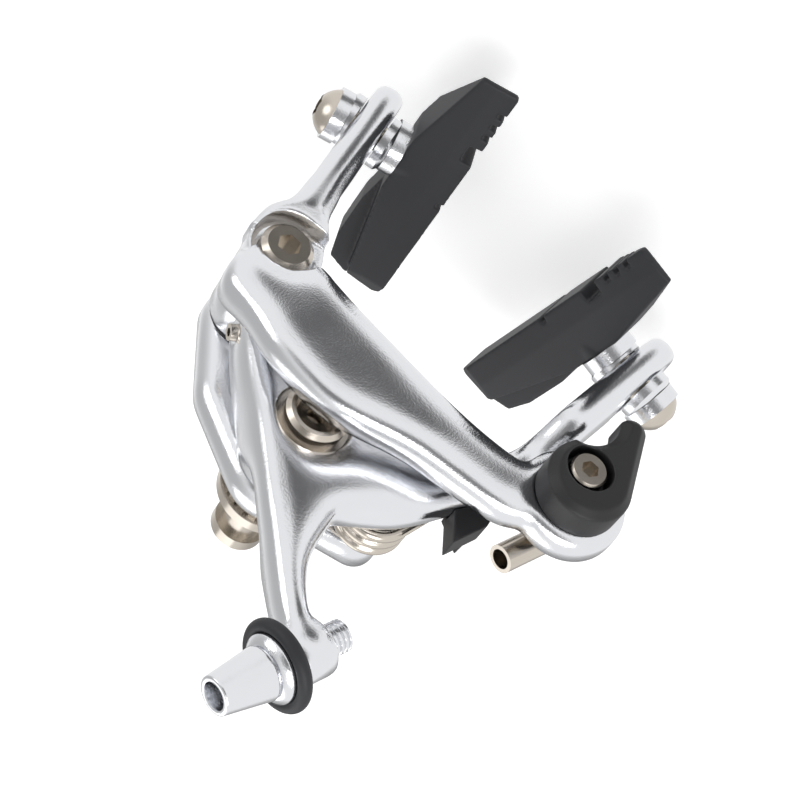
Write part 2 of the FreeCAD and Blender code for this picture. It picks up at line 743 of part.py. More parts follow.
def adjuster_arm():
    edge = n("spine_offset")
    neck = n("neck_width")
    front = spine_front
    boss_rear = cable_plane - n("boss_radius")
    end_station = BARREL.dot(SPINE)
    end_inner = BARREL.dot(SPINE_OUT) - n("boss_radius") * 0.54
    end_outer = BARREL.dot(SPINE_OUT) + n("boss_radius") * 0.43
    spine = loft([spine_wire(*row) for row in eased([
        (end_station * 0.985, end_inner, end_outer, front - 0.6, boss_rear + 1.2),
        (end_station * 0.806, (end_inner + edge - neck) / 2 + 1.4, (end_outer + edge) / 2 + 0.6,
         front, boss_rear + 1),
        (end_station * 0.627, edge - neck, edge, front, boss_rear + 0.4),
        (-20.5, -0.8, edge, front, web_rear - 0.4),
        (-10, -6, edge, front - 0.6, web_rear - 0.2),
        (0, -6.5, edge, front - 0.6, hub_rear + 4),
        (9, -1.5, edge, finger_front, finger_rear - 1),
        (n("lug_station") - 3, n("finger_root") + 1.4, edge - 0.1, finger_front, finger_rear),
        (n("finger_reach"), edge - n("finger_tip_width") + 1.6, edge - 0.6,
         finger_front - 0.6, finger_rear + 0.8),
    ], 2)])
    bar_end = 22
    root = adjuster_leg.centre + adjuster_leg.up * bar_end
    web = loft([web_wire(*row) for row in eased([
        (root.x, root.z, 90 - n("adjuster_leg_lean"), n("leg_thick") / 2, leg_front, leg_rear),
        (-32.1, -27.8, 84, 3.4, beam_rear - n("beam_gap") * 1.6, leg_rear - 0.3),
        (-30.6, -20.6, 71, 4.4, web_front, web_rear),
        (-23.8, -12.0, 58, 6.2, web_front, web_rear),
        (-16.6, -2.6, 50, 8.6, web_front, web_rear),
        (-7.5, 5.0, 44, 9.6, web_front - 0.4, web_rear - 0.2),
    ], 3)])
    hub = bore(CENTRE, n("hub_radius"), hub_rear, hub_front)
    hub = bevelled(hub, n("beam_edge_round") / 2)
    boss_base = BARREL - BARREL_AXIS * n("boss_tail")
    boss = Part.makeCylinder(n("boss_radius"), n("boss_length"), boss_base, BARREL_AXIS)
    boss = bevelled(boss, n("beam_edge_round") / 2)
    arm = spine.fuse([web, adjuster_leg.bar(bar_end), hub, boss])
    pocket = bore(CENTRE, n("nut_radius") + n("nut_pocket_room"), hub_front, beam_front)
    bush = bore(CENTRE, hub_bush_outer + n("running_fit") / 3, hub_rear, hub_front)
    stem_hole = Part.makeCylinder(n("stem_radius") + n("running_fit"), n("boss_length") * 4,
                                  BARREL - BARREL_AXIS * (n("boss_length") * 2), BARREL_AXIS)
    screw_hole = Part.makeCylinder(n("screw_radius") + n("running_fit") / 3, n("screw_length") * 3,
                                   screw_base - SPINE_OUT * n("screw_length"), SPINE_OUT)
    return arm.cut([pocket, bush, stem_hole, screw_hole] + adjuster_leg.slot())


free_form("adjuster_arm", adjuster_arm())

# Centring screw through the finger, its tip on the anchor arm's lug
towards_out = Rotation(Vector(0, 0, 1), SPINE_OUT)
screw = turned("centring_screw_body", [
    (0, 0),
    (d.screw_radius * 0.6, 0),
    (d.screw_radius, d.screw_radius * 0.4),
    (d.screw_radius, d.screw_length),
    (0, d.screw_length),
])
screw_socket = prism("centring_screw_socket", d.screw_key, d.screw_length / 4)
screw_socket.setExpression("Placement.Base.z", (d.screw_length * 0.75).text)
keep("centring_screw", cut("centring_screw_cut", screw, screw_socket), Placement(screw_base, towards_out))

# Barrel adjuster and its rubber ring
stem_length = d.stem_tail + d.boss_length + d.side_play
ring_room = d.ring_radius * 1.6
collar_top = stem_length + d.knob_collar_thick
groove_top = collar_top + ring_room
flange_top = groove_top + d.knob_flange_thick
knob_top = flange_top + d.knob_cone_length
barrel = turned("barrel_adjuster_body", [
    (d.cable_hole, 0),
    (d.stem_radius - d.cable_hole * 0.4, 0),
    (d.stem_radius, d.cable_hole * 0.4),
    (d.stem_radius, stem_length),
    (d.knob_collar_radius, stem_length),
    (d.knob_collar_radius, collar_top),
    (d.knob_groove_radius, collar_top),
    (d.knob_groove_radius, groove_top),
    (d.knob_flange_radius, groove_top),
    (d.knob_flange_radius, flange_top - d.knob_flange_thick / 2),
    (d.knob_cone_base, flange_top),
    (d.knob_cone_tip, knob_top),
    (d.housing_bore, knob_top),
    (d.housing_bore, knob_top - d.housing_depth),
    (d.cable_hole, knob_top - d.housing_depth),
])
barrel_foot = BARREL - BARREL_AXIS * (n("boss_tail") + n("stem_tail"))
barrel_turn = Rotation(Vector(0, 0, 1), BARREL_AXIS)
keep("barrel_adjuster", barrel, Placement(barrel_foot, barrel_turn))
rubber = document.addObject("Part::Torus", "adjuster_ring_torus")
rubber.setExpression("Radius1", (d.knob_groove_radius + d.running_fit + d.ring_radius).text)
rubber.setExpression("Radius2", d.ring_radius.text)
ring_height = (collar_top + groove_top) / 2
keep("adjuster_ring", rubber, Placement(barrel_foot + BARREL_AXIS * ring_height.value, barrel_turn))

# Quick-release lever, anchor bolt and cable clamp
ECCENTRIC = ANCHOR + Vector(n("anchor_eccentric_x"), 0, -n("anchor_eccentric_drop"))
lever_rear = boss_front + n("side_play")
lever_front = lever_rear + n("lever_thick")
pocket_floor = lever_front - n("lever_pocket_depth")


def release_lever():
    tip = ANCHOR + Vector(0.6, 0, -n("lever_reach") + n("lever_tip_radius"))
    plate = capsule(ANCHOR, n("lever_radius"), tip, n("lever_tip_radius"), lever_rear, lever_front)
    scoop_at = tip + Vector(n("lever_tip_radius") + n("lever_scoop_radius") * 0.82, 0,
                            n("lever_tip_radius") + n("lever_scoop_radius") * 0.2)
    scoop = bore(scoop_at, n("lever_scoop_radius"), lever_rear - 1, lever_front + 1)
    plate = plate.cut(scoop).removeSplitter()
    rim = [edge for edge in plate.Edges if abs(edge.BoundBox.YMax + lever_front) < 1e-6]
    plate = plate.makeChamfer(n("lever_bevel"), rim)
    hub = bore(ANCHOR, n("lever_hub_radius"), beam_rear, lever_rear + 1)
    shank = bore(ECCENTRIC, n("anchor_bolt_radius") + n("running_fit"), beam_rear, lever_front)
    head = bore(ECCENTRIC, n("lever_pocket_radius"), pocket_floor, lever_front + 1)
    return plate.fuse(hub).cut([shank, head]).removeSplitter()


free_form("quick_release_lever", release_lever())
clamp_rear = beam_rear - n("side_play")


def anchor_bolt():
    rear = clamp_rear - n("clamp_plate_thick") - n("clamp_nut_thick")
    seat = pocket_floor + n("side_play")
    shank = bore(ECCENTRIC, n("anchor_bolt_radius"), rear, seat)
    head = bevelled(bore(ECCENTRIC, n("anchor_head_radius"), seat, seat + n("anchor_head_thick")),
                    n("anchor_head_thick") / 10)
    corner = n("anchor_key") / math.cos(math.pi / 6) / 2
    socket = Part.Face(Part.makePolygon([
        Vector(ECCENTRIC.x + corner * math.cos(math.pi / 3 * index), -seat - n("anchor_head_thick"),
               ECCENTRIC.z + corner * math.sin(math.pi / 3 * index)) for index in range(7)
    ])).extrude(Vector(0, n("anchor_head_thick") * 0.7, 0))
    return shank.fuse(head).cut(socket).removeSplitter()


free_form("anchor_bolt", anchor_bolt())
clamp_hole = d.anchor_bolt_radius + d.running_fit
keep("clamp_plate", ring("clamp_plate_body", clamp_hole, d.clamp_plate_radius, d.clamp_plate_thick),
     Placement(Vector(ECCENTRIC.x, -clamp_rear, ECCENTRIC.z), ALONG_Y))


def clamp_nut():
    front = clamp_rear - n("clamp_plate_thick")
    rear = front - n("clamp_nut_thick")
    nut = bevelled(bore(ECCENTRIC, n("clamp_nut_radius"), rear, front), n("beam_edge_round") / 3)
    beside = Vector(-BARREL_AXIS.z, 0, BARREL_AXIS.x)
    foot = ECCENTRIC + beside * n("guide_offset") + BARREL_AXIS * n("guide_rise")
    foot.y = -cable_plane
    guide = Part.makeCylinder(n("guide_radius"), n("guide_length"), foot, BARREL_AXIS)
    wire_hole = Part.makeCylinder(n("guide_bore"), n("guide_length") * 0.7,
                                  foot + BARREL_AXIS * (n("guide_length") * 0.3), BARREL_AXIS)
    cable_hole = Part.makeCylinder(n("cable_hole"), n("guide_length") * 3,
                                   foot - BARREL_AXIS * n("guide_length"), BARREL_AXIS)
    shank = bore(ECCENTRIC, n("anchor_bolt_radius") + n("running_fit"), rear, front)
    return nut.fuse(guide).cut([wire_hole, cable_hole, shank]).removeSplitter()


free_form("clamp_nut", clamp_nut())

# Nylon block on the adjuster arm that the spring's short leg bears on
edge_angle = math.radians(n("block_heading"))
EDGE_HEADING = Vector(-math.cos(edge_angle), 0, -math.sin(edge_angle))
EDGE_OUT = Vector(EDGE_HEADING.z, 0, -EDGE_HEADING.x)
block_root = Vector(-n("block_x"), 0, -n("block_drop"))


def block_face(front, corners):
    """Flat face across the front view from corners along and out from the arm's edge."""
    points = [block_root + EDGE_HEADING * along + EDGE_OUT * out for along, out in corners]
    face = Part.Face(Part.makePolygon(points + points[:1]))
    face.translate(Vector(0, -front, 0))
    return face


def spring_block():
    front = web_front - n("block_setback")
    rear = front - n("block_depth")
    half = n("block_length") / 2
    low = -n("block_lip")
    main = block_face(front, [
        (-n("block_heel"), 0),
        (half, 0),
        (half, n("block_stand") * 0.6),
        (half * 0.46, n("block_stand")),
        (-n("block_toe"), n("block_crown")),
    ]).extrude(REAR * n("block_depth"))
    back = block_face(rear, [
        (0, low),
        (half * 0.8, low),
        (half * 0.8, n("block_stand") * 0.6),
        (0, n("block_stand")),
    ]).extrude(REAR * n("block_lip_thick"))
    return main.fuse(back).cut(pieces["adjuster_arm"].Shape).removeSplitter()


free_form("spring_block", spring_block())

# Return spring: coil on its sleeved post, one leg to each arm
wire_rear = bracket_front + n("wire_radius") + n("side_play")


def tangent_angle(point, turn):
    """Angle on the coil where a straight leg leaves towards a point in the front view."""
    dx = point.x - COIL.x
    dz = point.z - COIL.z
    reach = math.hypot(dx, dz)
    return math.atan2(dz, dx) + turn * math.acos(n("coil_radius") / reach)


def return_spring():
    gap = n("wire_radius") + n("running_fit") * 2
    far_end = PEG + Vector(0, 0, n("peg_radius") + gap)
    near_end = block_root - EDGE_OUT * (n("block_lip") + gap * 1.1)
    start = tangent_angle(far_end, -1)
    finish = tangent_angle(near_end, -1)
    sweep = finish - start
    while sweep < 2 * math.pi * n("coil_turns"):
        sweep += 2 * math.pi
    rise = n("coil_pitch") * sweep / (2 * math.pi)
    helix = Part.makeHelix(n("coil_pitch"), rise, n("coil_radius"))
    helix.rotate(Vector(), RIGHT, 90)
    helix.rotate(Vector(), REAR, -math.degrees(start))
    helix.translate(Vector(COIL.x, -wire_rear, COIL.z))
    edge = helix.Edges[0]
    first = edge.valueAt(edge.FirstParameter)
    last = edge.valueAt(edge.LastParameter)
    profile = Part.Wire(Part.Circle(first, edge.tangentAt(edge.FirstParameter), n("wire_radius")).toShape())
    parts = [Part.Wire(helix.Edges).makePipeShell([profile], True, True)]
    for root, end in ((first, far_end), (last, near_end)):
        run = Vector(end.x, root.y, end.z) - root
        parts.append(Part.makeCylinder(n("wire_radius"), run.Length + n("leg_overrun"), root, run))
        parts.append(Part.makeSphere(n("wire_radius") * n("bend_swell"), root))
    return parts[0].fuse(parts[1:])


free_form("return_spring", return_spring())
keep("spring_sleeve", ring("spring_sleeve_body", d.coil_post_radius + d.running_fit,
                           d.coil_post_radius + d.running_fit + d.coil_sleeve_wall,
                           d.coil_pitch * (d.coil_turns + 0.6)),
     stacked(bracket_front, COIL.x, COIL.z))


# Brake shoes on ball washers
INWARD = Rotation(Vector(0, 1, 0), -90)
washer_bore = d.shoe_bolt_radius + d.running_fit


def ball(name, extra):
    solid = document.addObject("Part::Sphere", name)
    solid.setExpression("Radius", (d.ball_radius + extra).text)
    return solid


def arm_washer(name):
    """Flat on the arm, domed on the far side to the shared ball."""
    washer = document.addObject("Part::Common", name)
    washer.Base = ring(name + "_blank", d.ball_washer_bore, d.shoe_washer_radius, d.ball_radius)
    washer.Base.setExpression("Placement.Base.z", (d.leg_thick / 2).text)
    washer.Tool = ball(name + "_ball", 0)
    return washer


def bolt_washer(name):
    """Hollow towards the arm, flat on the far side."""
    blank = ring(name + "_blank", washer_bore, d.shoe_washer_radius, d.washer_flat - d.leg_thick / 2)
    blank.setExpression("Placement.Base.z", (d.leg_thick / 2).text)
    return cut(name, blank, ball(name + "_ball", d.side_play))


def shoe_bolt(name):
    """Button-head bolt; its own Z runs outward from the ball centre."""
    dome_radius = (d.shoe_head_radius * d.shoe_head_radius + d.shoe_head_rise * d.shoe_head_rise) \
        / (d.shoe_head_rise * 2)
    dome = document.addObject("Part::Sphere", name + "_dome")
    dome.setExpression("Radius", dome_radius.text)
    dome.setExpression("Placement.Base.z", (d.washer_flat + d.shoe_head_rise - dome_radius).text)
    blank = document.addObject("Part::Cylinder", name + "_blank")
    blank.setExpression("Radius", d.shoe_head_radius.text)
    blank.setExpression("Height", (d.shoe_head_rise * 2).text)
    blank.setExpression("Placement.Base.z", d.washer_flat.text)
    head = document.addObject("Part::Common", name + "_head")
    head.Base = blank
    head.Tool = dome
    shank = document.addObject("Part::Cylinder", name + "_shank")
    shank.setExpression("Radius", d.shoe_bolt_radius.text)
    reach = d.washer_flat + d.insert_length - d.side_play
    shank.setExpression("Height", (reach + d.washer_flat + d.side_play).text)
    shank.setExpression("Placement.Base.z", f"-{reach.text}")
    whole = document.addObject("Part::Fuse", name + "_whole")
    whole.Base = head
    whole.Tool = shank
    socket = prism(name + "_socket", d.shoe_key, d.shoe_head_rise)
    socket.setExpression("Placement.Base.z", (d.washer_flat + d.shoe_head_rise * 0.35).text)
    return cut(name, whole, socket)


def pad(name, from_end):
    """Rubber pad: plan outline, top facets, end facet, lower wing, grooves and insert seat."""
    length = d.pad_length
    thick = d.pad_thick

    def along(position):
        return position if from_end else length - position

    body = document.addObject("PartDesign::Body", name + "_body")

    def add(kind, label, sketch, **settings):
        feature = body.newObject("PartDesign::" + kind, name + label)
        feature.Profile = sketch
        for key, value in settings.items():
            if isinstance(value, Size):
                feature.setExpression(key, value.text)
            else:
                setattr(feature, key, value)
        document.recompute()
        return feature

    bolt_at = length * d.pad_front_share
    half_hump = d.pad_hump / 2
    outline = outline_sketch(body, name + "_outline", "XY_Plane", [
        (0, along(d.pad_nose / 4)),
        (0, along(length - d.pad_nose / 2)),
        (d.pad_nose / 2, along(length)),
        (d.pad_end_thick, along(length - d.pad_nose)),
        (thick, along(bolt_at + half_hump)),
        (thick, along(bolt_at - half_hump)),
        (d.pad_end_thick, along(0)),
        (d.pad_nose / 4, along(0)),
    ])
    add("Pad", "_block", outline, Length=d.pad_height)
    rear_run = length - bolt_at - half_hump
    wing = outline_sketch(body, name + "_wing", "XY_Plane", [
        (d.pad_nose, along(bolt_at + half_hump)),
        (d.pad_nose, along(bolt_at + half_hump + rear_run * 0.9)),
        (d.pad_end_thick, along(length)),
        (thick, along(bolt_at + half_hump + rear_run * 0.92)),
        (thick + d.wing_reach, along(bolt_at + half_hump + rear_run * 0.7)),
        (thick + d.wing_reach, along(bolt_at + half_hump + rear_run * 0.3)),
        (thick, along(bolt_at + half_hump)),
    ])
    add("Pad", "_lobe", wing, Length=d.wing_height)
    outer_fall = (thick - d.pad_crest + d.wing_reach) * math.tan(math.radians(n("pad_slope")))
    outer = outline_sketch(body, name + "_outer", "XZ_Plane", [
        (d.pad_crest, d.pad_height),
        (thick + d.wing_reach, d.pad_height - outer_fall),
        (thick + d.wing_reach, d.pad_height),
    ])
    add("Pocket", "_outer_facet", outer, Type="ThroughAll", Midplane=True)
    inner_fall = d.pad_crest * math.tan(math.radians(n("pad_inner_slope")))
    inner = outline_sketch(body, name + "_inner", "XZ_Plane", [
        (0, d.pad_height - inner_fall),
        (d.pad_crest, d.pad_height),
        (0, d.pad_height),
    ])
    add("Pocket", "_inner_facet", inner, Type="ThroughAll", Midplane=True)
    rear = outline_sketch(body, name + "_rear", "YZ_Plane", [
        (along(length - d.pad_nose * 2), d.pad_height),
        (along(length), d.pad_height - d.pad_nose * 1.4),
        (along(length), d.pad_height),
    ])
    add("Pocket", "_rear_facet", rear, Type="ThroughAll", Midplane=True)
    front = outline_sketch(body, name + "_front", "YZ_Plane", [
        (along(0), 0),
        (along(0), d.pad_height - d.pad_lip),
        (along(d.pad_undercut), 0),
    ])
    add("Pocket", "_front_undercut", front, Type="ThroughAll", Midplane=True)
    grooves = [
        (d.groove_first, d.groove_slit, d.groove_depth * 0.6),
        (d.groove_first + d.groove_pitch, d.groove_slit, d.groove_depth * 0.6),
        (d.groove_first + d.groove_pitch * 2, d.groove_slit, d.groove_depth * 0.6),
        (d.groove_slot_at, d.groove_slot, d.groove_depth),
        (d.groove_rear_at, d.groove_slit, d.groove_depth * 0.5),
    ]
    for index, (place, width, depth) in enumerate(grooves):
        groove = outline_sketch(body, f"{name}_groove_{index}", "XY_Plane", [
            (0, along(place)),
            (depth, along(place)),
            (depth, along(place + width)),
            (0, along(place + width)),
        ])
        add("Pocket", f"_cut_{index}", groove, Type="ThroughAll", Midplane=True)
    return body


for side, leg, sign in (("anchor", anchor_leg, 1), ("adjuster", adjuster_leg, -1)):
    facing = Rotation(UP, 0 if sign > 0 else 180)
    arm_turn = Rotation(REAR, -sign * n(side + "_leg_lean")).multiply(facing)
    raised = Rotation(REAR, -sign * n(side + "_shoe_roll"))
    pitched = Rotation(RIGHT, n(side + "_shoe_pitch"))
    toed = Rotation(UP, sign * n(side + "_shoe_toe"))
    shoe_turn = toed.multiply(pitched).multiply(raised).multiply(facing)
    arm_frame = Placement(leg.centre, arm_turn)
    shoe_frame = Placement(leg.centre, shoe_turn)
    outward = Placement(Vector(), ALONG_X)
    inward = Placement(Vector(), INWARD)
    keep(side + "_outer_ball_washer", arm_washer(side + "_outer_ball"), arm_frame.multiply(outward))
    keep(side + "_inner_ball_washer", arm_washer(side + "_inner_ball"), arm_frame.multiply(inward))
    keep(side + "_outer_cup_washer", bolt_washer(side + "_outer_cup"), shoe_frame.multiply(outward))
    keep(side + "_inner_cup_washer", bolt_washer(side + "_inner_cup"), shoe_frame.multiply(inward))
    keep(side + "_shoe_bolt", shoe_bolt(side + "_bolt"), shoe_frame.multiply(outward))
    insert_profile = [
        (washer_bore, 0),
        (d.insert_flange_radius, 0),
        (d.insert_flange_radius, d.insert_flange_thick),
        (d.insert_radius, d.insert_flange_thick),
        (d.insert_radius, d.insert_length),
        (washer_bore, d.insert_length),
    ]
    seat = Placement(Vector(-n("washer_flat"), 0, 0), INWARD)
    keep(side + "_insert", turned(side + "_insert_body", insert_profile), shoe_frame.multiply(seat))
    room = d.running_fit
    cavity = turned(side + "_insert_room", [
        (0, 0),
        (d.insert_flange_radius + room, 0),
        (d.insert_flange_radius + room, d.insert_flange_thick + room),
        (d.insert_radius + room, d.insert_flange_thick + room),
        (d.insert_radius + room, d.insert_length + room),
        (0, d.insert_length + room),
    ])
    front_share = n("pad_front_share") if sign > 0 else 1 - n("pad_front_share")
    front_part = n("pad_length") * front_share
    corner = Vector(-n("washer_flat") - n("pad_thick"), -front_part, -n("pad_height") / 2)
    bolt_on_pad = Placement(Vector(n("pad_thick"), front_part, n("pad_height") / 2), INWARD)
    boss = document.addObject("Part::Cylinder", side + "_pad_boss")
    boss.setExpression("Radius", (d.insert_flange_radius + d.pad_boss_wall).text)
    boss.setExpression("Height", d.insert_length.text)
    boss.Placement = bolt_on_pad
    cavity.Placement = bolt_on_pad
    bossed = document.addObject("Part::Fuse", side + "_pad_bossed")
    bossed.Base = pad(side + "_rubber", sign > 0)
    bossed.Tool = boss
    in_shoe = shoe_frame.multiply(Placement(corner, Rotation()))
    keep(side + "_pad", cut(side + "_pad_cut", bossed, cavity), in_shoe)

# Soundness of every feature, then one file per piece
document.recompute()
for item in document.Objects:
    if "Invalid" in item.State or "Error" in item.State:
        raise RuntimeError(f"{item.Name} failed: {item.State}")
os.makedirs("parts", exist_ok=True)
for node, item in pieces.items():
    shape = item.Shape
    if shape.isNull() or not shape.isValid() or len(shape.Solids) != 1:
        raise RuntimeError(f"{node} is not one sound solid")
    shape.exportStep(f"parts/{node}.step")
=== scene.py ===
import json
import math

import bpy
import numpy as np
from mathutils import Matrix, Vector


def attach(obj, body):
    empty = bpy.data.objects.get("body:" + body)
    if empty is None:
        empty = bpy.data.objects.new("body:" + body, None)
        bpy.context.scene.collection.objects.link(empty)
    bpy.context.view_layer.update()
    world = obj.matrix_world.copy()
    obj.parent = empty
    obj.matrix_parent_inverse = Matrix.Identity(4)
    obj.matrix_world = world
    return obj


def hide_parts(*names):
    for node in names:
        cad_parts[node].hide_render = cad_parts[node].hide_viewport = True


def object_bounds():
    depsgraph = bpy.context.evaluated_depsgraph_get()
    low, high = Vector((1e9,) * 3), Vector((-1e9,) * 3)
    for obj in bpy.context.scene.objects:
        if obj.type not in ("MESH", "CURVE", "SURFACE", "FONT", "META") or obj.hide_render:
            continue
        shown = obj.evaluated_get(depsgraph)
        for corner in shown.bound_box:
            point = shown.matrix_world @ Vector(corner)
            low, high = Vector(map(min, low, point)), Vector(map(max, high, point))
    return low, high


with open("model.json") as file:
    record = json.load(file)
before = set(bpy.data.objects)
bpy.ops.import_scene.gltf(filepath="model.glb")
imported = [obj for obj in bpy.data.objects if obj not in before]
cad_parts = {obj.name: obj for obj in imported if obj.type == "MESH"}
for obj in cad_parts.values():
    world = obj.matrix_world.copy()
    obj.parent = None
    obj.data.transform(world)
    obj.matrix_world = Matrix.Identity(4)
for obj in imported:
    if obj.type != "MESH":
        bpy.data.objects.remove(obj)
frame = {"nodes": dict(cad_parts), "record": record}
cad_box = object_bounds()
MM = 0.001


def linear(hex_colour):
    """Linear RGBA of an sRGB hex colour."""
    parts = [int(hex_colour[i:i + 2], 16) / 255 for i in (1, 3, 5)]
    return [c / 12.92 if c <= 0.04045 else ((c + 0.055) / 1.055) ** 2.4 for c in parts] + [1.0]


WHITE = linear("#ffffff")


def add(tree, kind, inputs=None, **settings):
    """Adds a node with its settings; each input takes a plain value or a link from another node's socket."""
    node = tree.nodes.new(kind)
    for key, value in settings.items():
        setattr(node, key, value)
    for key, value in (inputs or {}).items():
        if isinstance(value, bpy.types.NodeSocket):
            tree.links.new(value, node.inputs[key])
        else:
            node.inputs[key].default_value = value
    return node


def blank(name):
    """New material with an empty node tree."""
    made = bpy.data.materials.new(name)
    made.use_nodes = True
    made.node_tree.nodes.clear()
    return made, made.node_tree


# Noise detail and bump depth, in mm, of the surface patterns
DRIFT_TO_GRAIN = 6
DRIFT_DETAIL = 3.0
METAL_GRAIN_DETAIL = 4.0
METAL_GRAIN_DEPTH = 0.2
WAVE_DETAIL = 0.0
MOULD_GRAIN_DETAIL = 3.0
MOULD_GRAIN_DEPTH = 0.1


def metal(name, colour, smoothest, roughest, grain_mm, dent, wave_mm=8.0, swell_mm=0.0):
    """Metal whose gloss drifts over the surface, with a slow waviness and a fine grain from finishing."""
    made, tree = blank(name)
    place = add(tree, "ShaderNodeTexCoord").outputs["Object"]
    drift = add(tree, "ShaderNodeTexNoise", {
        "Vector": place,
        "Scale": 1 / (grain_mm * DRIFT_TO_GRAIN * MM),
        "Detail": DRIFT_DETAIL,
    })
    gloss = add(tree, "ShaderNodeMapRange", {
        "Value": drift.outputs["Fac"],
        "To Min": smoothest,
        "To Max": roughest,
    })
    fine = add(tree, "ShaderNodeTexNoise", {
        "Vector": place,
        "Scale": 1 / (grain_mm * MM),
        "Detail": METAL_GRAIN_DETAIL,
    })
    slow = add(tree, "ShaderNodeTexNoise", {
        "Vector": place,
        "Scale": 1 / (wave_mm * MM),
        "Detail": WAVE_DETAIL,
    })
    wave = add(tree, "ShaderNodeBump", {"Height": slow.outputs["Fac"], "Distance": swell_mm * MM})
    grain = add(tree, "ShaderNodeBump", {
        "Height": fine.outputs["Fac"],
        "Normal": wave.outputs["Normal"],
        "Strength": dent,
        "Distance": METAL_GRAIN_DEPTH * MM,
    })
    surface = add(tree, "ShaderNodeBsdfPrincipled", {
        "Base Color": linear(colour),
        "Metallic": 1.0,
        "Roughness": gloss.outputs["Result"],
        "Normal": grain.outputs["Normal"],
    })
    add(tree, "ShaderNodeOutputMaterial", {"Surface": surface.outputs["BSDF"]})
    return made


def matt(name, colour, rough, grain_mm, dent):
    """Moulded rubber or plastic with a fine matt grain."""
    made, tree = blank(name)
    place = add(tree, "ShaderNodeTexCoord").outputs["Object"]
    fine = add(tree, "ShaderNodeTexNoise", {
        "Vector": place,
        "Scale": 1 / (grain_mm * MM),
        "Detail": MOULD_GRAIN_DETAIL,
    })
    grain = add(tree, "ShaderNodeBump", {
        "Height": fine.outputs["Fac"],
        "Strength": dent,
        "Distance": MOULD_GRAIN_DEPTH * MM,
    })
    surface = add(tree, "ShaderNodeBsdfPrincipled", {
        "Base Color": linear(colour),
        "Roughness": rough,
        "Normal": grain.outputs["Normal"],
    })
    add(tree, "ShaderNodeOutputMaterial", {"Surface": surface.outputs["BSDF"]})
    return made


# Grain widths are drawn coarser than the real polishing and moulding marks, so that they show
MATERIALS = {
    # Bright hand-polished forging: slow waves from the buffing wheel break up its reflections
    "polished_aluminium": metal("polished_aluminium", "#e4e5e8", smoothest=0.10, roughest=0.19,
                                grain_mm=0.35, dent=0.17, wave_mm=13.0, swell_mm=0.4),
    # Bright plate on the fasteners: a warmer, darker shine than the forgings
    "plated_steel": metal("nickel_plated_steel", "#cbc3b8", smoothest=0.16, roughest=0.28,
                          grain_mm=0.8, dent=0.03),
    # Moulded rubber: charcoal with a soft sheen
    "black_rubber": matt("moulded_black_rubber", "#232428", rough=0.55, grain_mm=0.5, dent=0.12),
    # Moulded nylon: a little blacker and smoother than the rubber
    "black_nylon": matt("moulded_black_nylon", "#1d1d1f", rough=0.5, grain_mm=0.35, dent=0.10),
    # Turned bearing bronze: a soft golden shine
    "brass": metal("turned_bronze", "#c49a58", smoothest=0.2, roughest=0.3, grain_mm=0.8, dent=0.04),
}
SLOTS = {entry["node"]: entry["material_slot"] for entry in frame["record"]["subparts"]}
for name, node in frame["nodes"].items():
    for holder in node.material_slots:
        holder.link = "OBJECT"
        holder.material = MATERIALS[SLOTS[name]]


def placed(name, data):
    """New object in the scene."""
    made = bpy.data.objects.new(name, data)
    bpy.context.scene.collection.objects.link(made)
    return made


def applied(made, modifier):
    """Makes the result of an object's one modifier its plain mesh."""
    plain = bpy.data.meshes.new_from_object(made.evaluated_get(bpy.context.evaluated_depsgraph_get()))
    made.modifiers.remove(modifier)
    made.data = plain


def body_of(node):
    """Name of the rigid body a CAD node belongs to."""
    bodies = frame["record"]["behaviour"]["bodies"]
    return next(name for name, nodes in bodies.items() if node in nodes)


def stands_for(made, node):
    """Puts a finished mesh in the place of a CAD node."""
    made.data.materials.clear()
    made.data.materials.append(MATERIALS[SLOTS[node]])
    made.data.polygons.foreach_set("use_smooth", [True] * len(made.data.polygons))
    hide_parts(node)
    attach(made, body_of(node))


def near_axis(points, x, z, radius):
    """Which points, in mm, lie within a radius of an axis along Y."""
    return np.hypot(points[:, 0] - x, points[:, 2] - z) < radius


def remeshed(node, cell_mm):
    """Even small-celled copy of a CAD node's mesh."""
    made = placed(node + "_finished", frame["nodes"][node].data.copy())
    cells = made.modifiers.new("cells", "REMESH")
    cells.mode = "VOXEL"
    cells.voxel_size = cell_mm * MM
    applied(made, cells)
    return made


def neighbours(mesh):
    """Edge ends of a mesh and how many neighbours each vertex has."""
    ends = np.empty(len(mesh.edges) * 2, dtype=np.int32)
    mesh.edges.foreach_get("vertices", ends)
    degree = np.bincount(ends, minlength=len(mesh.vertices)).reshape(-1, 1)
    return ends.reshape(-1, 2), degree


def averaged(values, ends, degree):
    """Mean of a vector quantity over the neighbours of each vertex."""
    total = np.zeros_like(values)
    for axis in range(3):
        total[:, axis] = np.bincount(ends[:, 0], values[ends[:, 1], axis], len(values))
        total[:, axis] += np.bincount(ends[:, 1], values[ends[:, 0], axis], len(values))
    return total / degree


# The first steps take the cell marks off every face alike
SETTLING_STEPS = 12
SETTLING_PULL = 0.5
HELD_SETTLING_STEPS = 4


